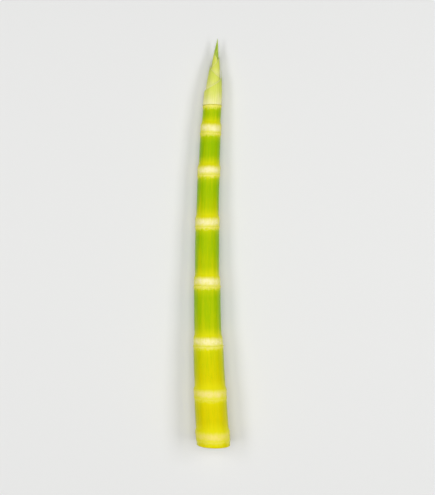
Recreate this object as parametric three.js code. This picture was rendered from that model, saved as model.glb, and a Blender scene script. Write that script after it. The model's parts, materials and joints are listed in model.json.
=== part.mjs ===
// A peeled slender bamboo shoot, as cut, lying on its side on a flat surface.
//
// The culm is one grown stem. From its cut end it has seven bare internodes, each a little
// slimmer than the one below, with a node between them: a thin lip where the old sheath was
// attached, a pale band, and a soft swollen ridge. Above the eighth node four young sheaths
// are still wrapped round the stem's growing tip, each fixed at a node of its own and open on
// the side opposite its midrib. Neighbouring sheaths have their midribs on opposite sides.
//
// Frame: +Y runs along the shoot from the cut end to the tip, +Z is up, and Z 0 is the surface
// it lies on. The origin is under the middle of its bounding box. Units are millimetres.

import * as THREE from "three";

// ---- Driving dimensions ----

// The culm's bare internodes, from the cut end up: each one's length, from node to node, and
// its plain radius at its foot and its top. The first is the stub below the first node.
const INTERNODES = [
  { length: 3.8, foot: 9.45, top: 9.4 },
  { length: 23.7, foot: 9.3, top: 9.15 },
  { length: 29.2, foot: 8.85, top: 8.45 },
  { length: 33.8, foot: 7.7, top: 7.55 },
  { length: 33.8, foot: 6.85, top: 6.8 },
  { length: 29.2, foot: 6.4, top: 6.3 },
  { length: 24.0, foot: 6.0, top: 5.75 },
  { length: 15.8, foot: 5.35, top: 5.2 },
];

const TIP_LENGTH = 38.7; // from the last bare node to the point
const TIP_RADIUS = 5.3; // of the wrapped tip at its foot

// The young sheaths, from the outermost in: where each is fixed, the lowest place of its open
// side and its pointed end, all measured from the last bare node.
const SHEATHS = [
  { name: "lower_sheath", foot: 1.1, open: 8.2, point: 20.5 },
  { name: "second_sheath", foot: 8.7, open: 15.2, point: 27.5 },
  { name: "third_sheath", foot: 14.7, open: 20.7, point: 32.7 },
  { name: "upper_sheath", foot: 19.2, open: 24.9, point: 36.2 },
];
const LAYER = 0.11; // step from one wrapped layer to the next one in, as a share of the radius
const WALL = 0.07; // a sheath's thickness, as a share of the radius, with clearance for the rest
const STEP_CLEAR = 0.3; // how far below a sheath's foot the stem has stepped in

// A node, measured from its lip.
const LIP_PROUD = 0.27; // the lip over the internode below it
const LIP_HALF_WIDTH = 0.5;
const LIP_FLARE = 1.8; // where the internode below begins to flare
const BAND_DIP = 0.12; // how far the pale band hollows between lip and ridge
const RIDGE_RISE = 4.2; // from the lip to the ridge
const RIDGE_PROUD = 0.57; // the ridge over the internode above it
const RIDGE_HALF_WIDTH = 0.6;
const RIDGE_FADE = 7.0; // from the lip to where the internode above is plain

const CUT_BEVEL = 0.4; // the worn rim of the cut end
const BEND_RADIUS = 1400; // of the centre line, whose ends both bow to the +X side
const BEND_MIDDLE = 102; // height where the centre line runs straight along +Y
const REST_FLAT = 0.05; // how far the flesh gives where it bears on the surface

const AROUND = 24; // sides of the round sections
const TIP_STEPS = 9; // rings along the wrapped tip
const SHEATH_STEPS = 5; // rings along a sheath's wall

// ---- Heights and radii that follow from them ----

const nodeHeights = []; // of each node's lip, above the cut end
let grown = 0;
for (const internode of INTERNODES) {
  grown += internode.length;
  nodeHeights.push(grown);
}
const lastNode = grown;
const shootLength = lastNode + TIP_LENGTH;

// A node is numbered as the internode below it.
function lipRadius(node) {
  return INTERNODES[node].top + LIP_PROUD;
}

function ridgeRadius(node) {
  return INTERNODES[node + 1].foot + RIDGE_PROUD;
}

// The outer radius of the whole wrapped tip, an ogive from TIP_RADIUS to the point.
function tipRadius(height) {
  const share = THREE.MathUtils.clamp((height - lastNode) / TIP_LENGTH, 0, 1);
  return TIP_RADIUS * (1 - share ** 1.7) ** 0.9;
}

// ---- How the shoot lies ----

// It bears on the ridges of its second and sixth nodes, so its centre line falls evenly from
// one to the other and on to the tip. The flat side that faces down is nearer to the centre
// line than the corners are.
const HEEL = 1;
const TOE = 5;
const sideShare = Math.cos(Math.PI / AROUND);
const heelHeight = nodeHeights[HEEL] + RIDGE_RISE;
const toeHeight = nodeHeights[TOE] + RIDGE_RISE;
const axisFall = (sideShare * (ridgeRadius(HEEL) - ridgeRadius(TOE))) / (toeHeight - heelHeight);

function axisLift(height) {
  return sideShare * ridgeRadius(HEEL) - axisFall * (height - heelHeight) - REST_FLAT;
}

function axisBow(height) {
  return (height - BEND_MIDDLE) ** 2 / (2 * BEND_RADIUS);
}

// Moves a geometry turned about a straight Y axis onto the shoot's own centre line, and
// flattens what would sink into the surface.
function layDown(geometry) {
  const places = geometry.getAttribute("position");
  for (let i = 0; i < places.count; i++) {
    const height = places.getY(i);
    places.setX(i, places.getX(i) + axisBow(height));
    places.setZ(i, Math.max(0, places.getZ(i) + axisLift(height)));
  }
  geometry.computeVertexNormals();
  return geometry;
}

// Turns a profile of [radius, height] points, with one side facing straight down.
function turned(profile) {
  const points = profile.map(([radius, height]) => new THREE.Vector2(radius, height));
  return new THREE.LatheGeometry(points, AROUND, Math.PI / AROUND);
}

// ---- The culm ----

// A node's lip, from where the internode below it begins to flare.
function lipProfile(node) {
  const lip = nodeHeights[node];
  return [
    [INTERNODES[node].top, lip - LIP_FLARE],
    [lipRadius(node), lip - LIP_HALF_WIDTH],
    [lipRadius(node), lip + LIP_HALF_WIDTH],
  ];
}

// The pale band above a lip, the ridge, and the fall to the plain foot of the next internode.
function ridgeProfile(node) {
  const ridge = nodeHeights[node] + RIDGE_RISE;
  const band = (nodeHeights[node] + LIP_HALF_WIDTH + ridge - RIDGE_HALF_WIDTH) / 2;
  return [
    [(lipRadius(node) + ridgeRadius(node)) / 2 - BAND_DIP, band],
    [ridgeRadius(node), ridge - RIDGE_HALF_WIDTH],
    [ridgeRadius(node), ridge + RIDGE_HALF_WIDTH],
    [INTERNODES[node + 1].foot, nodeHeights[node] + RIDGE_FADE],
  ];
}

// The stem inside the sheaths. At the foot of each sheath it steps in by one layer, so that it
// ends just clear of the sheath, and the innermost stretch runs on to the point.
function tipProfile() {
  const profile = [];
  SHEATHS.forEach((sheath, layer) => {
    const inside = 1 - LAYER * (layer + 1);
    const from = lastNode + sheath.foot - STEP_CLEAR;
    const isLast = layer === SHEATHS.length - 1;
    const to = isLast ? shootLength : lastNode + SHEATHS[layer + 1].foot - 2 * STEP_CLEAR;
    const steps = isLast ? TIP_STEPS : 1;
    for (let i = 0; i <= steps; i++) {
      const height = THREE.MathUtils.lerp(from, to, i / steps);
      profile.push([inside * tipRadius(height), height]);
    }
  });
  return profile;
}

function culmProfile() {
  const profile = [
    [0, 0],
    [INTERNODES[0].foot - CUT_BEVEL, 0],
    [INTERNODES[0].foot, CUT_BEVEL],
  ];
  for (let node = 0; node < INTERNODES.length - 1; node++) {
    profile.push(...lipProfile(node), ...ridgeProfile(node));
  }
  profile.push(...lipProfile(INTERNODES.length - 1), ...tipProfile());
  return profile;
}

// ---- The sheaths ----

// A sheath is a thin sleeve round the tip. Its upper edge is highest at its midrib and falls
// away to the opposite side, where the sheath is open. The sleeve is turned with its wall one
// unit high, and each point is then raised to its place between foot and edge.
function sheathGeometry(sheath, layer) {
  const outer = 1 - LAYER * layer;
  const inner = outer - WALL;
  const wall = [];
  for (let i = 0; i <= SHEATH_STEPS; i++) wall.push([outer, i / SHEATH_STEPS]);
  for (let i = SHEATH_STEPS; i >= 0; i--) wall.push([inner, i / SHEATH_STEPS]);
  wall.push(wall[0]);

  const geometry = turned(wall);
  const midrib = layer % 2 === 0 ? 1 : -1; // the first one's midrib is on the +X side
  const places = geometry.getAttribute("position");
  for (let i = 0; i < places.count; i++) {
    const x = places.getX(i);
    const z = places.getZ(i);
    const towardsMidrib = (1 + (midrib * x) / Math.hypot(x, z)) / 2;
    const edge = THREE.MathUtils.lerp(sheath.open, sheath.point, towardsMidrib ** 2);
    const height = lastNode + THREE.MathUtils.lerp(sheath.foot, edge, places.getY(i));
    const radius = tipRadius(height);
    places.setXYZ(i, x * radius, height, z * radius);
  }
  return geometry;
}

// ---- Materials ----

const peeledCulm = new THREE.MeshStandardMaterial({
  name: "peeled_culm",
  color: new THREE.Color().setRGB(0.66, 0.78, 0.1, THREE.SRGBColorSpace),
  roughness: 0.35,
  metalness: 0,
});
const youngSheath = new THREE.MeshStandardMaterial({
  name: "young_sheath",
  color: new THREE.Color().setRGB(0.85, 0.86, 0.45, THREE.SRGBColorSpace),
  roughness: 0.45,
  metalness: 0,
});

// ---- The shoot ----

function part(name, geometry, material) {
  const mesh = new THREE.Mesh(layDown(geometry), material);
  mesh.name = name;
  return mesh;
}

const shoot = new THREE.Group();
shoot.add(part("culm", turned(culmProfile()), peeledCulm));
SHEATHS.forEach((sheath, layer) => {
  shoot.add(part(sheath.name, sheathGeometry(sheath, layer), youngSheath));
});

const bounds = new THREE.Box3().setFromObject(shoot);
const middle = bounds.getCenter(new THREE.Vector3());
shoot.position.set(-middle.x, -middle.y, 0);

export default shoot;
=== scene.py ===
# A peeled slender bamboo shoot, lying on its side on a pale floor under soft studio light.
#
# The culm is one fine mesh with its nodes, sheath scars and cut end, and each of the four young
# sheaths round the tip is a thin leaf of its own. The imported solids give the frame: +Y runs from
# the cut end to the tip, +Z is up, and the shoot rests on Z 0. Lengths here are millimetres until
# the last step of each mesh, which turns them into the frame's metres.

import json
import math

import bpy
import numpy as np
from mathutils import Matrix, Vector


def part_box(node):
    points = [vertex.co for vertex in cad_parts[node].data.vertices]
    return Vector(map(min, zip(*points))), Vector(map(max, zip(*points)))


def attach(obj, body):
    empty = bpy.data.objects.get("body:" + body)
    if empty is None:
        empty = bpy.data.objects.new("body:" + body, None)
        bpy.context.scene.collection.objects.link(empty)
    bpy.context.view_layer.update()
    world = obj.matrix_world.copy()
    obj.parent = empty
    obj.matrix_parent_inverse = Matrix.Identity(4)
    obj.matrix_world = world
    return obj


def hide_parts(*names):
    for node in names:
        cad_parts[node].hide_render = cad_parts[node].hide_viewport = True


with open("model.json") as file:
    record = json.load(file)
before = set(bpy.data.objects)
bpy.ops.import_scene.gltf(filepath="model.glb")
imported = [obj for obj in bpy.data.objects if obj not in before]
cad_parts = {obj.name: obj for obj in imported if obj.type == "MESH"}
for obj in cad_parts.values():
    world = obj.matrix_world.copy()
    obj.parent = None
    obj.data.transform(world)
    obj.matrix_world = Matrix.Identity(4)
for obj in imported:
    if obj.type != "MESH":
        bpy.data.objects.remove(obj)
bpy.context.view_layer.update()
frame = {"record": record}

MM = 0.001

# ---- The shoot's measures, which are those of its solids ----

# From the cut end up: each internode's length, its plain radius at its foot and at its top, and
# how green it is at its foot and where it is greenest, from 0, yellow, to 1, full green.
INTERNODES = [
    (3.8, 9.45, 9.4, -0.1, -0.1),
    (23.7, 9.3, 9.15, -0.1, 0.0),
    (29.2, 8.85, 8.45, -0.05, 0.12),
    (33.8, 7.7, 7.55, 0.25, 0.66),
    (33.8, 6.85, 6.8, 0.28, 0.72),
    (29.2, 6.4, 6.3, 0.15, 0.8),
    (24.0, 6.0, 5.75, 0.3, 0.84),
    (15.8, 5.35, 5.2, 0.3, 0.85),
]
TIP_LENGTH = 38.7
TIP_RADIUS = 5.3
LIP_PROUD = 0.27
LIP_FLARE = 1.8
BAND_DIP = 0.12
RIDGE_RISE = 4.2
RIDGE_PROUD = 0.57
RIDGE_FADE = 7.0
BEND_RADIUS = 1400.0
BEND_MIDDLE = 102.0
CUT_BEVEL = 0.4

# The young sheaths, from the outermost in: node name, foot, lowest place of the open side and
# point, all measured from the last bare node.
SHEATHS = [
    ("lower_sheath", 0.4, 8.2, 20.5),
    ("second_sheath", 7.0, 15.2, 27.5),
    ("third_sheath", 13.2, 20.7, 32.7),
    ("upper_sheath", 17.8, 24.9, 36.2),
]
LAYER = 0.11  # step from one wrapped layer to the next one in, as a share of the radius

NODES = np.cumsum([internode[0] for internode in INTERNODES])  # heights of the lips
FEET = np.concatenate([[0.0], NODES[:-1]])
LAST_NODE = NODES[-1]
LENGTH = LAST_NODE + TIP_LENGTH

# ---- Small helpers for shapes ----

FULL_TURN = 6.28  # in radians, near enough for waves


def smooth(value, start, end):
    """0 before start, 1 after end, and an even rise between them."""
    share = np.clip((value - start) / (end - start), 0.0, 1.0)
    return share * share * (3 - 2 * share)


def lerp(low, high, share):
    return low + (high - low) * share


def hump(value, half_width):
    """1 at 0, and 0 beyond half_width on either side."""
    return 1 - smooth(np.abs(value), 0.0, half_width)


def waver(angles, seed, lowest, highest):
    """An irregular wave round a circle, between about -1 and 1, of the given harmonics."""
    random = np.random.default_rng(seed)
    total = np.zeros_like(angles)
    for harmonic in range(lowest, highest + 1):
        strength = random.uniform(0.4, 1.0)
        total = total + strength * np.cos(harmonic * angles + random.uniform(0, FULL_TURN))
    return total / math.sqrt(highest - lowest + 1)


def swell(height, angles, seed, spacing):
    """A soft irregular field over the culm, between about -1 and 1, of six crossed waves."""
    random = np.random.default_rng(seed)
    total = np.zeros(np.broadcast(height, angles).shape)
    for _ in range(6):
        pitch = random.uniform(0.7, 1.6) * spacing
        turns = random.integers(0, 4)
        phase = random.uniform(0, FULL_TURN)
        total = total + np.cos(FULL_TURN * height / pitch + turns * angles + phase)
    return total / 3


# ---- How the shoot lies ----

RESTING_MOUNT = frame["record"]["mounts"][0]["pos_m"]
CUT_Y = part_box("culm")[0].y / MM


def plain_radius(height, index):
    """An internode's own radius at a height, before its nodes are added."""
    length, foot, top = INTERNODES[index][:3]
    return lerp(foot, top, np.clip((height - FEET[index]) / length, 0, 1))


def lip_radius(node):
    return INTERNODES[node][2] + LIP_PROUD


def ridge_radius(node):
    return INTERNODES[node + 1][1] + RIDGE_PROUD


HEEL, TOE = 1, 5  # the nodes on whose ridges it bears
HEEL_HEIGHT = NODES[HEEL] + RIDGE_RISE
AXIS_FALL = (ridge_radius(HEEL) - ridge_radius(TOE)) / (NODES[TOE] + RIDGE_RISE - HEEL_HEIGHT)
REST_FLAT = 0.12  # how far the flesh gives where it bears on the surface


def bow(height):
    return (height - BEND_MIDDLE) ** 2 / (2 * BEND_RADIUS)


def lay_down(height, across, up):
    """Places in metres of points given by their height along the shoot and their offsets
    from its centre line. What would sink into the surface is flattened onto it."""
    centre_x = bow(height) - bow(HEEL_HEIGHT) + RESTING_MOUNT[0] / MM
    centre_z = ridge_radius(HEEL) - AXIS_FALL * (height - HEEL_HEIGHT) - REST_FLAT
    place = np.stack([across + centre_x, height + CUT_Y, np.maximum(up + centre_z, 0.0)], axis=-1)
    return place.reshape(-1, 3) * MM


# ---- Meshes from grids ----


def grid_faces(rows, columns, closed, first=0):
    """Quads between the rows of a grid of vertices. They face out where its rows climb along
    the shoot and its columns go round from the top towards +X."""
    faces = []
    for row in range(rows - 1):
        for column in range(columns if closed else columns - 1):
            beside = (column + 1) % columns
            low = first + row * columns
            high = low + columns
            faces.append((low + column, low + beside, high + beside, high + column))
    return faces


def make_piece(name, places, faces, painted, finish, flat_map=None):
    """A mesh object with smooth shading and named values painted on its vertices. The flat map,
    if given, has a place for each corner of each face in turn."""
    mesh = bpy.data.meshes.new(name)
    mesh.from_pydata(places.tolist(), [], faces)
    for title, values in painted.items():
        kind, key = ("FLOAT", "value") if values.ndim == 1 else ("FLOAT_VECTOR", "vector")
        attribute = mesh.attributes.new(title, kind, "POINT")
        attribute.data.foreach_set(key, values.astype(np.float32).ravel())
    if flat_map is not None:
        layer = mesh.uv_layers.new(name="OFBake")
        layer.data.foreach_set("uv", flat_map.astype(np.float32).ravel())
    mesh.shade_smooth()
    mesh.materials.append(finish)
    piece = bpy.data.objects.new(name, mesh)
    bpy.context.scene.collection.objects.link(piece)
    return piece


# ---- The culm ----

AROUND = 120  # vertices round each ring of the culm
# Rings near a lip, in three runs: where each run starts and ends above the lip, and how many.
NEAR_NODE = [(-2.4, -0.5, 6), (-0.4, 0.7, 10), (0.9, 8.0, 17)]
PLAIN_STEP = 1.6  # between rings elsewhere
STUB_RINGS = 4
TIP_RINGS = 40
TIP_START = 1.0  # from the last lip to the first of the tip's rings
BLUNT = 0.1  # from the last ring to the point

# Heights from a lip: its edge, where the step to the pale band starts and ends, and where the
# rise to the ridge starts.
LIP_TOP = -0.1
STEP_FROM = 0.05
STEP_TO = 0.5
RIDGE_START = 1.0

TILT = 0.35  # how far a node leans from square across the culm
RAGGED = 0.13  # how far the torn edge of a scar wanders along the culm
SCAR_UNEVEN = 0.09  # how much the scar's lip varies in how far it stands out
BROAD_SWELL = 0.006  # how far the culm is from round, as shares of its radius
SHORT_SWELL = 0.004
FLUTE_DEPTH = 0.004
CUT_SLANT = 0.05  # how far the cut leans from square, as a slope
CUT_HOLLOW = 0.35  # how far the middle of the cut face has sunk
KNIFE_MARKS = 0.05
STEP_IN = 0.92  # the wrapped stem's radius at its foot, as a share of the whole tip's
TIP_GREENS = 18.0  # from the last node to where the tip starts to get greener
FAR = 15.0  # from a lip, beyond which its distance doesn't matter


def culm_heights():
    """Heights of the culm's rings, close together at each node."""
    heights = [np.linspace(CUT_BEVEL, NODES[0] - 2.5, STUB_RINGS)]
    for lip, next_lip in zip(NODES, NODES[1:]):
        for start, end, count in NEAR_NODE:
            heights.append(lip + np.linspace(start, end, count))
        start = lip + NEAR_NODE[-1][1]
        end = next_lip + NEAR_NODE[0][0]
        count = int((end - start) / PLAIN_STEP) + 1
        heights.append(np.linspace(start, end, count + 1)[1:-1])
    for start, end, count in NEAR_NODE[:2]:
        heights.append(LAST_NODE + np.linspace(start, end, count))
    heights.append(np.linspace(LAST_NODE + TIP_START, LENGTH - BLUNT, TIP_RINGS))
    return np.concatenate(heights)


def tip_radius(height):
    """The outer radius of the whole wrapped tip, an ogive from TIP_RADIUS to the point."""
    share = np.clip((height - LAST_NODE) / TIP_LENGTH, 0, 1)
    return TIP_RADIUS * (1 - share**1.7) ** 0.9


def culm_outline(height):
    """The culm's radius at a height, with each node's lip, pale band and ridge."""
    radius = plain_radius(height, 0)
    for node, lip in enumerate(NODES[:-1]):
        above = height - lip
        band = (lip_radius(node) + ridge_radius(node)) / 2 - BAND_DIP
        radius = lerp(radius, lip_radius(node), smooth(above, -LIP_FLARE, LIP_TOP))
        radius = lerp(radius, band, smooth(above, STEP_FROM, STEP_TO))
        radius = lerp(radius, ridge_radius(node), smooth(above, RIDGE_START, RIDGE_RISE))
        next_up = plain_radius(height, node + 1)
        radius = lerp(radius, next_up, smooth(above, RIDGE_RISE, RIDGE_FADE))
    above = height - LAST_NODE
    radius = lerp(radius, lip_radius(len(NODES) - 1), smooth(above, -LIP_FLARE, LIP_TOP))
    inside = STEP_IN
    for _, foot, _, _ in SHEATHS[1:]:
        inside = inside - LAYER * smooth(above, foot - 0.8, foot - 0.1)
    return lerp(radius, tip_radius(height) * inside, smooth(above, STEP_FROM, 0.45))


def node_shift(height, angles):
    """How far each place moves along the culm, because nodes lean and their scars are ragged."""
    shift = np.zeros(np.broadcast(height, angles).shape)
    for node, lip in enumerate(NODES):
        above = height - lip
        lean = TILT * waver(angles, 10 + node, 1, 2)
        torn = RAGGED * waver(angles, 30 + node, 4, 19)
        shift = shift + lean * hump(above - 1.5, 9.0) + torn * hump(above, 1.0)
    return shift


def scar_thickness(height, angles):
    """The scar's lip stands out more in some places than in others."""
    extra = np.zeros(np.broadcast(height, angles).shape)
    for node, lip in enumerate(NODES):
        extra = extra + SCAR_UNEVEN * waver(angles, 50 + node, 2, 15) * hump(height - lip, 0.7)
    return extra


def fluting(height, angles):
    """Faint lengthwise flats, different on each internode and gone at its ends."""
    depth = np.zeros(np.broadcast(height, angles).shape)
    for index, internode in enumerate(INTERNODES[1:], start=1):
        own = smooth(height, FEET[index] + 5.0, FEET[index] + 12.0)
        own = own * (1 - smooth(height, NODES[index] - 6.0, NODES[index] - 1.5))
        depth = depth + own * waver(angles, 90 + index, 4, 13)
    return depth


def greenness(height):
    """How green the culm is: yellowest at the foot of each internode and greenest at its top.
    The wrapped tip gets greener towards its point."""
    green = np.full_like(height, INTERNODES[0][3])
    for index, (length, _, _, foot, greenest) in enumerate(INTERNODES):
        share = (height - FEET[index]) / length
        own = lerp(foot, greenest, smooth(share, -0.05, 0.9))
        green = np.where(height >= FEET[index], own, green)
    return np.where(height >= LAST_NODE, smooth(height, LAST_NODE + TIP_GREENS, LENGTH), green)


def lip_distances(height):
    """How far a height is above the last lip and below the next one, neither over FAR."""
    apart = height[..., None] - NODES
    above = np.where(apart >= 0, apart, FAR).min(axis=-1)
    below = np.where(apart < 0, -apart, FAR).min(axis=-1)
    return np.minimum(above, FAR), np.minimum(below, FAR)


FACE_RINGS = 16  # vertex rings on the cut face
RIM_STEPS = 6  # steps round its worn rim
CUT_RINGS = FACE_RINGS + RIM_STEPS - 1


def cut_end(angles):
    """The cut end's heights and radii, ring by ring from the middle of its face to the rim. The
    face has dried slightly hollow and has low marks from the knife."""
    corner = INTERNODES[0][1] - CUT_BEVEL
    radii = np.linspace(0.04, 1.0, FACE_RINGS)[:, None] * corner
    hollow = CUT_HOLLOW * (1 - (radii / corner) ** 2)
    marks = KNIFE_MARKS * np.cos(radii * np.cos(angles) * 2.1 + 0.4 * radii * np.sin(angles))
    heights = hollow + marks * (1 - smooth(radii, 0.8 * corner, corner))
    turn = np.linspace(0, math.pi / 2, RIM_STEPS + 1)[1:-1, None]
    rim_heights = CUT_BEVEL * (1 - np.cos(turn)) + 0 * angles
    rim_radii = corner + CUT_BEVEL * np.sin(turn) + 0 * angles
    return (
        np.concatenate([heights + 0 * angles, rim_heights]),
        np.concatenate([radii + 0 * angles, rim_radii]),
    )


# The culm's flat map. Its skin is cut across into four strips, which end between nodes at these
# heights. Each is unrolled into a box of left, low, right and high, and the cut face is a disc
# in the free corner.
STRIP_CUTS = (50.0, 108.0, 166.0, LENGTH)
STRIP_BOXES = [
    (0.005, 0.005, 0.495, 0.495),
    (0.505, 0.005, 0.995, 0.495),
    (0.005, 0.505, 0.495, 0.995),
    (0.505, 0.505, 0.795, 0.995),
]
DISC_MIDDLE = (0.9, 0.6)
DISC_RADIUS = 0.09


def on_disc(reach, turn):
    """Places on the cut face's disc, from how far out on the face they are and how far round."""
    across = DISC_MIDDLE[0] + DISC_RADIUS * reach * np.cos(turn)
    along = DISC_MIDDLE[1] + DISC_RADIUS * reach * np.sin(turn)
    return np.stack([across, along], axis=-1)


def map_strips(quads, travelled, starts):
    """Unrolls the skin's quads into the strips' boxes, each evenly along its own length."""
    left = np.arange(AROUND) / AROUND
    right = left + 1 / AROUND
    share = np.stack([left, right, right, left], axis=-1)
    for start, end, box in zip(starts, starts[1:], STRIP_BOXES):
        climb = (travelled - travelled[start]) / (travelled[end] - travelled[start])
        stop = min(end, len(quads))
        low, high = climb[start:stop], climb[start + 1:stop + 1]
        up = np.stack([low, low, high, high], axis=-1)[:, None]
        quads[start:stop, :, :, 0] = lerp(box[0], box[2], share)
        quads[start:stop, :, :, 1] = lerp(box[1], box[3], up)


def map_cut_face(quads, reach, near, far):
    """Lays the cut face's quads on its disc."""
    for row in range(FACE_RINGS - 1):
        low, high = reach[row], reach[row + 1]
        corners = [(low, near), (low, far), (high, far), (high, near)]
        quads[row] = np.stack([on_disc(*corner) for corner in corners], axis=1)


def map_point(last):
    """The triangles of the point, which start a share of the way up the last strip's box."""
    left = np.arange(AROUND) / AROUND
    right = left + 1 / AROUND
    box = STRIP_BOXES[-1]
    point = np.zeros((AROUND, 3, 2))
    point[..., 0] = lerp(box[0], box[2], np.stack([(left + right) / 2, left, right], axis=-1))
    point[..., 1] = lerp(box[1], box[3], np.array([1.0, last, last]))
    return point


def skin_map(heights, radii, angles):
    """The flat map's places for the culm's quads, and then for the triangles that close its
    cut face and its point, in the order of its faces."""
    ring_heights = np.append(heights.mean(axis=1), LENGTH)
    ring_radii = np.append(radii.mean(axis=1), 0.0)
    steps = np.hypot(np.diff(ring_heights), np.diff(ring_radii))
    travelled = np.concatenate([[0.0], np.cumsum(steps)])
    cuts = [int(np.searchsorted(ring_heights, cut)) for cut in STRIP_CUTS]
    starts = [FACE_RINGS - 1] + cuts
    reach = ring_radii / ring_radii[FACE_RINGS - 1]
    near = angles[0]
    far = np.append(angles[0, 1:], angles[0, 0] - 2 * math.pi)

    quads = np.zeros((len(heights) - 1, AROUND, 4, 2))
    map_strips(quads, travelled, starts)
    map_cut_face(quads, reach, near, far)
    corners = [(0 * near, near), (reach[0], far), (reach[0], near)]
    middle = np.stack([on_disc(*corner) for corner in corners], axis=1)
    strip = travelled[-1] - travelled[starts[-2]]
    last = (travelled[-2] - travelled[starts[-2]]) / strip
    ends = np.stack([middle, map_point(last)], axis=1)
    return np.concatenate([quads.reshape(-1, 2), ends.reshape(-1, 2)])


def culm_shape(angles):
    """Heights and radii of the culm's vertices, ring by ring from the middle of the cut face to
    the tip, and their heights before nodes lean and the cut slants."""
    cut_heights, cut_radii = cut_end(angles)
    plain = culm_heights()[:, None]
    radii = culm_outline(plain) + scar_thickness(plain, angles)
    uneven = BROAD_SWELL * swell(plain, angles, 5, 55) + SHORT_SWELL * swell(plain, angles, 6, 17)
    radii = radii * (1 + uneven + FLUTE_DEPTH * fluting(plain, angles))
    bare = np.where(plain > LAST_NODE + TIP_START, 0, 1)
    shifted = plain + node_shift(plain, angles) * bare

    heights = np.concatenate([cut_heights, shifted])
    radii = np.concatenate([cut_radii, radii])
    near_cut = 1 - smooth(heights, 0.0, 3.0)
    slant = CUT_SLANT * radii * np.cos(angles + 2.2) * near_cut
    heights = heights + slant + CUT_SLANT * INTERNODES[0][1] * near_cut
    grown = np.concatenate([np.zeros((CUT_RINGS, 1)), plain]) + np.zeros((1, AROUND))
    return heights, radii, grown


def culm_faces(rings):
    """The culm's quads, and then the triangles that close its cut face and its point."""
    faces = grid_faces(rings, AROUND, closed=True)
    last = (rings - 1) * AROUND
    middle = rings * AROUND
    point = middle + 1
    for column in range(AROUND):
        beside = (column + 1) % AROUND
        faces.append((middle, beside, column))
        faces.append((point, last + column, last + beside))
    return faces


def culm_paint(heights, radii, angles, grown):
    """What the culm's finish reads from each vertex: its place in the grain, how green it is,
    how far it is from the lips, how far round to a side as the shoot lies, which sets the painted
    side shading, how near the cut end, whether it is on the cut face, and how far in from the rim."""
    above_lip, below_lip = lip_distances(grown)
    rim = INTERNODES[0][1]
    on_cut = np.zeros_like(radii)
    on_cut[:CUT_RINGS] = 1 - smooth(radii[:CUT_RINGS], rim - 0.3, rim)

    def with_ends(values, at_middle, at_point):
        return np.concatenate([values.reshape(-1), [at_middle, at_point]])

    grain = [
        with_ends(radii * np.cos(angles), 0, 0),
        with_ends(radii * np.sin(angles), 0, 0),
        with_ends(heights, 0, LENGTH),
    ]
    return {
        "grain": np.stack(grain, axis=-1),
        "green": with_ends(greenness(grown), 0, 0.8),
        "above_lip": with_ends(above_lip, FAR, FAR),
        "below_lip": with_ends(below_lip, FAR, FAR),
        # Painted side shading: 1 on the sides as the shoot lies, where the finish paints shade on
        # its flanks.
        "painted_side_shading": with_ends(np.cos(angles) ** 2 + 0 * radii, 0, 0),
        "age": with_ends(1 - heights / LENGTH, 1, 0),
        "on_cut": with_ends(on_cut, 1, 0),
        "to_rim": with_ends(rim - radii, rim, 0),
    }


def build_culm(finish):
    # Going round this way, from underneath, its faces face out.
    angles = -math.pi / 2 - np.linspace(0, 2 * math.pi, AROUND, endpoint=False)[None, :]
    heights, radii, grown = culm_shape(angles)
    ends = np.array([heights[0].mean(), LENGTH])
    places = np.concatenate([
        lay_down(heights, radii * np.cos(angles), radii * np.sin(angles)),
        lay_down(ends, np.zeros(2), np.zeros(2)),
    ])
    painted = culm_paint(heights, radii, angles, grown)
    flat_map = skin_map(heights, radii, angles)
    return make_piece("culm_skin", places, culm_faces(len(heights)), painted, finish, flat_map)


# ---- The young sheaths ----

SHEATH_COLUMNS = 96
SHEATH_ROWS = 34
WRAP_OVER = 0.42  # how far each margin passes the opposite side, in radians
SHEATH_REACH = math.pi + WRAP_OVER  # from midrib to margin
BLADE = 2.6  # length of the small green blade at a sheath's point
BLADE_WIDTH = 0.2  # of half of it, in radians
EDGE_WAVER = 0.12
TUCK = 0.35  # height of the hidden margins, as a share of the open side's
CROSSING = math.pi - 0.9  # where the margins start to part, in radians from the midrib
VEINS_AROUND = 30
EDGE_THINS = 0.65  # share of the thickness that is gone at the edge

# As shares of the tip's radius:
THICK = 0.042  # a sheath's thickness
EDGE_LIFT = 0.02  # how far its upper edge stands off
VEIN_RELIEF = 0.004
MARGIN_OVER = 0.022  # how far one margin lies out over the other, and the other one in
MARGIN_UNDER = 0.030


def sheath_edge(turn, foot, low, point):
    """Height of a sheath's upper edge, turn radians round from its midrib."""
    away = np.abs(turn) / math.pi
    slope = lerp(low, point - BLADE, np.clip(1 - away, 0, 1) ** 1.5)
    blade = BLADE * np.exp(-((turn / BLADE_WIDTH) ** 2))
    tucked = smooth(away, 1.0, SHEATH_REACH / math.pi)
    return lerp(slope + blade, foot + TUCK * (low - foot), tucked)


def sheath_walls(layer, turn, climb, near_edge):
    """A sheath's outer and inner radius, as shares of the tip's. One margin lies over the other
    where they cross, and the edge thins and lifts a little."""
    over = MARGIN_OVER * smooth(turn, CROSSING, math.pi)
    under = MARGIN_UNDER * smooth(-turn, CROSSING, math.pi)
    lift = EDGE_LIFT * smooth(climb, 0.6, 1.0)
    ribs = VEIN_RELIEF * np.cos(turn * VEINS_AROUND) * smooth(climb, 0.0, 0.2)
    outer = 1 - LAYER * layer + (over - under) + lift + ribs
    thin = 1 - EDGE_THINS * smooth(near_edge, 0.75, 1.0)
    return outer, outer - THICK * thin


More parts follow.
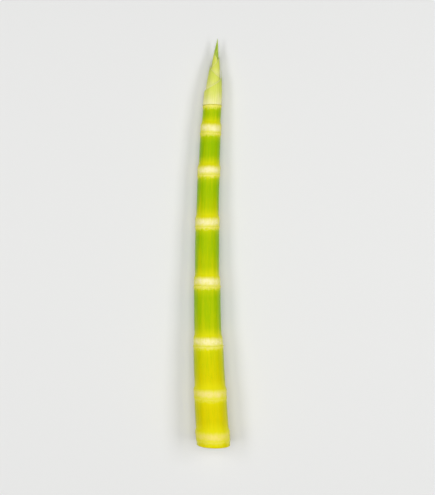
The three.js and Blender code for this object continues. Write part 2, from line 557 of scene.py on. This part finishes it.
def sheath_faces():
    """A sheath's outside, its inside, and the rim that joins them."""
    count = SHEATH_ROWS * SHEATH_COLUMNS
    outside = grid_faces(SHEATH_ROWS, SHEATH_COLUMNS, closed=False)
    inside = grid_faces(SHEATH_ROWS, SHEATH_COLUMNS, closed=False, first=count)
    inside = [tuple(reversed(face)) for face in inside]
    border = (
        [column for column in range(SHEATH_COLUMNS)]
        + [row * SHEATH_COLUMNS + SHEATH_COLUMNS - 1 for row in range(1, SHEATH_ROWS)]
        + [count - 1 - column for column in range(1, SHEATH_COLUMNS)]
        + [row * SHEATH_COLUMNS for row in range(SHEATH_ROWS - 2, 0, -1)]
    )
    rim = [
        (start + count, end + count, end, start)
        for start, end in zip(border, border[1:] + border[:1])
    ]
    return outside + inside + rim


def build_sheath(layer, finish):
    name, foot, low, point = SHEATHS[layer]
    turn = np.linspace(SHEATH_REACH, -SHEATH_REACH, SHEATH_COLUMNS)[None, :]
    climb = np.linspace(0, 1, SHEATH_ROWS)[:, None]
    edge = sheath_edge(turn, foot, low, point)
    edge = edge + EDGE_WAVER * waver(turn * 0.8, 70 + layer, 3, 11)
    above = lerp(foot, edge, climb)
    near_edge = np.maximum(climb, np.abs(turn) / SHEATH_REACH)
    outer, inner = sheath_walls(layer, turn, climb, near_edge)
    facing = turn + (0.0 if layer % 2 == 0 else math.pi)

    def wall(share):
        radius = tip_radius(LAST_NODE + above) * share
        return lay_down(LAST_NODE + above, radius * np.cos(facing), radius * np.sin(facing))

    def twice(values):
        flat = (values + np.zeros((SHEATH_ROWS, SHEATH_COLUMNS))).reshape(-1)
        return np.concatenate([flat, flat])

    own_grain = layer * 40.0  # keeps each sheath's pattern apart from the others'
    grain = [twice(turn * TIP_RADIUS), twice(np.full_like(turn, own_grain)), twice(above)]
    painted = {
        "grain": np.stack(grain, axis=-1),
        "climb": twice((above - foot) / (point - foot)),
        "near_edge": twice(near_edge),
    }
    places = np.concatenate([wall(outer), wall(inner)])
    return make_piece(name + "_leaf", places, sheath_faces(), painted, finish)


# ---- Finishes ----


def linear(red, green, blue):
    """A colour given as screen values from 0 to 255, as a shader's linear colour."""
    def one(value):
        share = value / 255
        return share / 12.92 if share <= 0.04045 else ((share + 0.055) / 1.055) ** 2.4

    return (one(red), one(green), one(blue), 1.0)


class Field:
    """A number that varies over a surface. Arithmetic on it adds Math nodes to its finish."""

    def __init__(self, finish, socket):
        self.finish = finish
        self.socket = socket

    def __add__(self, other):
        return self.finish.math("ADD", self, other)

    __radd__ = __add__

    def __sub__(self, other):
        return self.finish.math("SUBTRACT", self, other)

    def __rsub__(self, other):
        return self.finish.math("SUBTRACT", other, self)

    def __mul__(self, other):
        return self.finish.math("MULTIPLY", self, other)

    __rmul__ = __mul__


class Finish:
    """A material made of nodes."""

    def __init__(self, name):
        self.material = bpy.data.materials.new(name)
        self.material.use_nodes = True
        self.tree = self.material.node_tree
        self.tree.nodes.clear()

    def node(self, kind, settings, inputs):
        """Adds a node: its settings first, then the value or the link of each socket."""
        node = self.tree.nodes.new(kind)
        for name, value in settings.items():
            setattr(node, name, value)
        for key, value in inputs.items():
            source = value.socket if isinstance(value, Field) else value
            if isinstance(source, bpy.types.NodeSocket):
                self.tree.links.new(source, node.inputs[key])
            else:
                node.inputs[key].default_value = source
        return node

    def math(self, operation, *values):
        node = self.node("ShaderNodeMath", {"operation": operation}, dict(enumerate(values)))
        return Field(self, node.outputs[0])

    def rise(self, value, start, end):
        """0 before start, 1 after end, and an even rise between them."""
        inputs = {0: value, 1: start, 2: end}
        node = self.node("ShaderNodeMapRange", {"interpolation_type": "SMOOTHSTEP"}, inputs)
        return Field(self, node.outputs[0])

    def mix(self, share, under, over):
        """One colour laid over another."""
        node = self.node("ShaderNodeMix", {"data_type": "RGBA"}, {0: share, 6: under, 7: over})
        return node.outputs[2]

    def painted(self, name):
        """A number painted on the mesh."""
        node = self.node("ShaderNodeAttribute", {"attribute_name": name}, {})
        return Field(self, node.outputs["Fac"])

    def along_grain(self, stretch):
        """The mesh's grain coordinates, scaled in each direction."""
        grain = self.node("ShaderNodeAttribute", {"attribute_name": "grain"}, {})
        inputs = {0: grain.outputs["Vector"], 1: stretch}
        return self.node("ShaderNodeVectorMath", {"operation": "MULTIPLY"}, inputs).outputs[0]

    def noise(self, place, detail=2.0):
        inputs = {"Vector": place, "Scale": 1.0, "Detail": detail}
        return Field(self, self.node("ShaderNodeTexNoise", {}, inputs).outputs[0])

    def surface(self, inputs):
        """The Principled shader and the material's output."""
        shader = self.node("ShaderNodeBsdfPrincipled", {}, inputs)
        self.node("ShaderNodeOutputMaterial", {}, {0: shader.outputs[0]})
        return self.material

    def bump(self, height, depth):
        inputs = {"Strength": 1.0, "Distance": depth, "Height": height}
        return self.node("ShaderNodeBump", {}, inputs).outputs[0]


GREEN = linear(140, 182, 0)
YELLOW = linear(208, 204, 0)
OLD_YELLOW = linear(218, 202, 0)
NODE_YELLOW = linear(226, 220, 20)
CREAM = linear(246, 236, 180)
OLD_CREAM = linear(238, 220, 112)
STRAW = linear(206, 176, 92)
LEAF_PALE = linear(210, 216, 104)
LEAF_GREEN = linear(138, 172, 50)
FLESH = linear(253, 246, 198)
DARK_FLESH = linear(248, 238, 168)
FIBRE = linear(186, 168, 72)
RIND = linear(214, 220, 60)
SHEATH_FOOT = linear(240, 234, 160)
SHEATH_MIDDLE = linear(214, 220, 92)
SHEATH_POINT = linear(132, 168, 44)
SHEATH_VEIN = linear(170, 194, 60)
SHEATH_EDGE = linear(238, 232, 176)

# Tints of what skin and leaf mirror.
SKIN_GLOSS = (0.8, 1.0, 0.1, 1.0)
LEAF_GLOSS = (0.9, 1.0, 0.4, 1.0)


def culm_skin_colour(finish, broad, fine, blotchy):
    """Green high in each internode, yellow towards the foot, cream at the nodes, and leaf green
    where the stem ends in a rolled leaf, with painted shade that greens the flanks and dims the
    pale band there. Also gives the pale band."""
    green = finish.painted("green")
    above = finish.painted("above_lip")
    below = finish.painted("below_lip")
    painted_side_shading = finish.painted("painted_side_shading")
    age = finish.painted("age")
    cloudy = finish.noise(finish.along_grain((0.18, 0.18, 0.07))) - 0.5
    threads = finish.noise(finish.along_grain((11.0, 11.0, 0.16)), 2.0)
    flecks = finish.noise(finish.along_grain((3.4, 3.4, 1.1)), 1.0)

    # Painted shade: the flanks, as the shoot lies, are painted greener.
    streaky = green + 0.4 * painted_side_shading * painted_side_shading + 0.6 * broad + 0.35 * fine + 0.55 * cloudy
    streaky = streaky + 0.22 * finish.rise(threads, 0.5, 0.66)
    yellow = finish.mix(finish.rise(age, 0.72, 0.9), YELLOW, OLD_YELLOW)
    skin = finish.mix(finish.rise(streaky, -0.1, 1.1), yellow, GREEN)
    skin = finish.mix(0.35 * finish.rise(flecks, 0.68, 0.76), skin, LEAF_GREEN)

    # Yellow from a little under each lip to well above the ridge, where its streaks run out.
    streaks = 2.5 * broad + 1.4 * fine + 1.5 * blotchy
    yellowed = 1 - finish.rise(above + streaks, 3.5, 12.0)
    fringe = 1 - finish.rise(below + streaks, 0.0, 3.0)
    tinge = 0.3 * (1 - finish.rise(below + streaks, 1.0, 7.0))
    skin = finish.mix(0.9 * yellowed + 0.75 * fringe + tinge, skin, NODE_YELLOW)

    # The pale band between lip and ridge, strongest half way, and the scar's dry torn edge.
    waning = 1 - finish.rise(above + 0.5 * streaks, 2.9, 5.8)
    band = (0.2 + 0.8 * finish.rise(above + 0.3 * streaks, 0.0, 2.4)) * waning
    band = band + 0.45 * (1 - finish.rise(below + 4.5 * blotchy + 1.5 * fine, -0.4, 2.4))
    # Painted shade: the pale band dims towards the flanks as the shoot lies. The blotches are its
    # own unevenness.
    band = band * (0.95 - 0.55 * painted_side_shading + 1.1 * blotchy)
    cream = finish.mix(finish.rise(age, 0.7, 0.95), CREAM, OLD_CREAM)
    cream = finish.mix(0.35 * finish.rise(fine + 0.5 * broad, 0.0, 0.2), cream, NODE_YELLOW)
    skin = finish.mix(band, skin, cream)
    dry = (1 - finish.rise(above, 0.0, 0.3)) * finish.rise(fine, -0.05, 0.15)
    skin = finish.mix(0.45 * dry, skin, STRAW)

    leaf = finish.mix(finish.rise(0.4 * fine + 0.4 * broad - age, -0.2, 0.1), LEAF_PALE, LEAF_GREEN)
    return finish.mix(1 - finish.rise(age, 0.05, 0.13), skin, leaf), band


def flesh_colour(finish):
    """The cut face: pale flesh dotted with fibre ends, which are closer together towards the
    rim, and a thin greener rind."""
    to_rim = finish.painted("to_rim")
    cells = finish.node(
        "ShaderNodeTexVoronoi", {}, {"Vector": finish.along_grain((1.5, 1.5, 0.0)), "Scale": 1.0}
    )
    cloudy = finish.noise(finish.along_grain((0.5, 0.5, 0.0)))
    size = 0.38 - 0.03 * to_rim + 0.2 * (cloudy - 0.5)
    dots = 1 - finish.rise(Field(finish, cells.outputs[0]) - size, -0.08, 0.04)
    flesh = finish.mix(finish.rise(cloudy, 0.35, 0.7), FLESH, DARK_FLESH)
    flesh = finish.mix(0.65 * dots, flesh, FIBRE)
    return finish.mix(0.8 * (1 - finish.rise(to_rim, 0.5, 1.2)), flesh, RIND)


def culm_finish():
    """Smooth moist skin with fine lengthwise fibres. The cut end shows the flesh."""
    finish = Finish("peeled_culm")
    on_cut = finish.painted("on_cut")
    broad = finish.noise(finish.along_grain((0.8, 0.8, 0.035))) - 0.5
    fine = finish.noise(finish.along_grain((4.0, 4.0, 0.15)), 3.0) - 0.5
    blotchy = finish.noise(finish.along_grain((0.5, 0.5, 0.6))) - 0.5
    skin, band = culm_skin_colour(finish, broad, fine, blotchy)

    ribs = finish.noise(finish.along_grain((7.0, 7.0, 0.1)), 2.0)
    grit = finish.noise(finish.along_grain((5.0, 5.0, 5.0)), 2.0)
    relief = (ribs + 0.6 * fine) * (1 - 0.6 * on_cut) + 0.5 * grit * (0.3 * band + on_cut)
    return finish.surface({
        "Base Color": finish.mix(on_cut, skin, flesh_colour(finish)),
        "Roughness": 0.33 + 0.16 * band + 0.14 * fine + 0.08 * blotchy + 0.2 * on_cut,
        "Specular IOR Level": 0.15,
        "Specular Tint": SKIN_GLOSS,
        "Subsurface Weight": 0.12,
        "Subsurface Radius": (1.0, 0.9, 0.15),
        "Subsurface Scale": 1.2 * MM,
        "Normal": finish.bump(relief, 0.04 * MM),
    })


def sheath_finish():
    """Thin young leaf: cream at its foot, yellow-green above, and green at its point, with
    fine parallel veins and a paler edge."""
    finish = Finish("young_sheath")
    climb = finish.painted("climb")
    near_edge = finish.painted("near_edge")
    veins = finish.noise(finish.along_grain((3.2, 1.0, 0.05)), 2.0)
    cloudy = finish.noise(finish.along_grain((0.25, 1.0, 0.12)))

    patchy = climb + 0.35 * (cloudy - 0.5) + 0.25 * (veins - 0.5)
    colour = finish.mix(finish.rise(patchy, 0.0, 0.45), SHEATH_FOOT, SHEATH_MIDDLE)
    colour = finish.mix(finish.rise(patchy, 0.45, 1.0), colour, SHEATH_POINT)
    colour = finish.mix(0.4 * finish.rise(veins, 0.5, 0.7), colour, SHEATH_VEIN)
    colour = finish.mix(0.6 * finish.rise(near_edge, 0.93, 1.0), colour, SHEATH_EDGE)
    return finish.surface({
        "Base Color": colour,
        "Roughness": 0.42 + 0.12 * (veins - 0.5),
        "Specular IOR Level": 0.3,
        "Specular Tint": LEAF_GLOSS,
        "Subsurface Weight": 0.15,
        "Subsurface Radius": (1.0, 0.9, 0.25),
        "Subsurface Scale": 0.8 * MM,
        "Normal": finish.bump(veins, 0.05 * MM),
    })


# ---- The stage ----

FLOOR_COLOUR = (0.74, 0.74, 0.73, 1.0)
FLOOR_HALF = 4.0  # half its side, in metres
FLOOR_GAP = 0.02  # below the shoot, so that the two don't share a plane

# Soft boxes that look at the shoot: name, lean from straight overhead towards +X in degrees,
# distance, width and length in metres, and power in watts.
LIGHTS = [
    ("overhead_box", 0, 1.5, 1.2, 1.2, 12.8),
    ("left_strip", -38, 1.0, 0.3, 0.8, 3.5),
    ("right_strip", 44, 1.0, 0.3, 0.8, 3.9),
]
SKY_COLOUR = (0.95, 0.97, 1.0, 1.0)
SKY_STRENGTH = 0.13

SENSOR = 36.0  # the camera's sensor is this wide, and its lens this long
LENS = 85.0
FRAME_HEIGHT = 280.7  # of the floor that the frame shows
FRAME_CENTRE = (3.4, -3.5)  # in x and y


def floor_finish():
    finish = Finish("pale_floor")
    return finish.surface({
        "Base Color": FLOOR_COLOUR,
        "Roughness": 0.8,
        "Specular IOR Level": 0.2,
    })


def build_floor():
    mesh = bpy.data.meshes.new("floor")
    corners = [(-1, -1), (1, -1), (1, 1), (-1, 1)]
    mesh.from_pydata([(FLOOR_HALF * x, FLOOR_HALF * y, 0) for x, y in corners], [], [(0, 1, 2, 3)])
    mesh.materials.append(floor_finish())
    floor = bpy.data.objects.new("floor", mesh)
    floor.location.z = -FLOOR_GAP * MM
    bpy.context.scene.collection.objects.link(floor)


def light_stage():
    for name, degrees, distance, across, along, power in LIGHTS:
        light = bpy.data.lights.new(name, "AREA")
        light.shape = "RECTANGLE"
        light.size = across
        light.size_y = along
        light.energy = power
        lean = math.radians(degrees)
        lamp = bpy.data.objects.new(name, light)
        lamp.location = (distance * math.sin(lean), 0.0, distance * math.cos(lean))
        lamp.rotation_euler = (0.0, lean, 0.0)
        bpy.context.scene.collection.objects.link(lamp)
    world = bpy.data.worlds.new("studio")
    world.use_nodes = True
    background = world.node_tree.nodes["Background"]
    background.inputs["Color"].default_value = SKY_COLOUR
    background.inputs["Strength"].default_value = SKY_STRENGTH
    bpy.context.scene.world = world
    bpy.context.scene.view_settings.view_transform = "Standard"


def place_camera():
    """Straight above the shoot, with its tip towards the top of the frame."""
    camera = bpy.data.cameras.new("camera")
    camera.sensor_width = SENSOR
    camera.lens = LENS
    view = bpy.data.objects.new("camera", camera)
    distance = FRAME_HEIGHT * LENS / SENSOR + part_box("culm")[1].z / MM / 2
    view.location = (FRAME_CENTRE[0] * MM, FRAME_CENTRE[1] * MM, distance * MM)
    bpy.context.scene.collection.objects.link(view)
    bpy.context.scene.camera = view


# ---- Putting it together ----


def mount_piece(piece, node):
    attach(piece, "root")
    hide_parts(node)


place_camera()
light_stage()
build_floor()
mount_piece(build_culm(culm_finish()), "culm")
young_leaf = sheath_finish()
for layer, sheath in enumerate(SHEATHS):
    mount_piece(build_sheath(layer, young_leaf), sheath[0])
